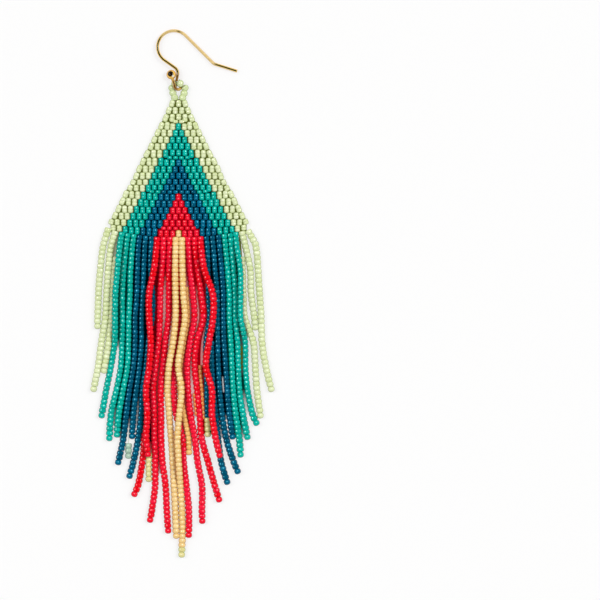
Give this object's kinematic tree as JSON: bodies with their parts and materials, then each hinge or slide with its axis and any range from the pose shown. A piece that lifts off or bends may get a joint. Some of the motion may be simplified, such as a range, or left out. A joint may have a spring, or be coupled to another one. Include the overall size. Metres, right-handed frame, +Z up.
{
  "type": "beaded fringe earring",
  "caption": "Flat beaded earring: ear wire, bead loop, woven triangle of nested colour bands and a long fringe of seed bead strands, laid out on a surface.",
  "frame": {"origin": "middle of the whole outline, on the surface that it lies on", "axes": "+X across the earring to the viewer's right, +Y along it to the ear wire, +Z up from the surface"},
  "size_m": [0.0459, 0.1321, 0.003],
  "materials": {
    "gold_wire": "polished, gold coloured",
    "green_beads": "gloss, opaque",
    "teal_beads": "gloss, opaque",
    "blue_beads": "gloss, opaque",
    "red_beads": "gloss, opaque",
    "straw_beads": "gloss, opaque",
    "sage_beads": "gloss, opaque"
  },
  "bodies": {
    "root": {"ear_hook": "gold_wire", "bead_loop": "green_beads", "panel_green": "green_beads", "panel_teal": "teal_beads", "panel_blue": "blue_beads", "panel_red": "red_beads", "panel_tan": "straw_beads", "green_1": "green_beads", "green_2": "green_beads", "green_3": "green_beads", "green_4": "green_beads", "green_5": "green_beads", "green_6": "green_beads", "teal_1": "teal_beads", "teal_2": "teal_beads", "teal_3": "teal_beads", "teal_4": "teal_beads", "teal_5": "teal_beads", "teal_6": "teal_beads", "blue_1": "blue_beads", "blue_2": "blue_beads", "blue_3": "blue_beads", "blue_4": "blue_beads", "blue_5": "blue_beads", "blue_6": "blue_beads", "blue_7": "blue_beads", "red_1": "red_beads", "red_2": "red_beads", "red_3": "red_beads", "red_4": "red_beads", "red_5": "red_beads", "red_6": "red_beads", "red_7": "red_beads", "red_8": "red_beads", "tan_1": "straw_beads", "tan_2": "straw_beads", "tan_3": "straw_beads", "back_1": "sage_beads", "back_2": "straw_beads"}
  },
  "joints": []
}
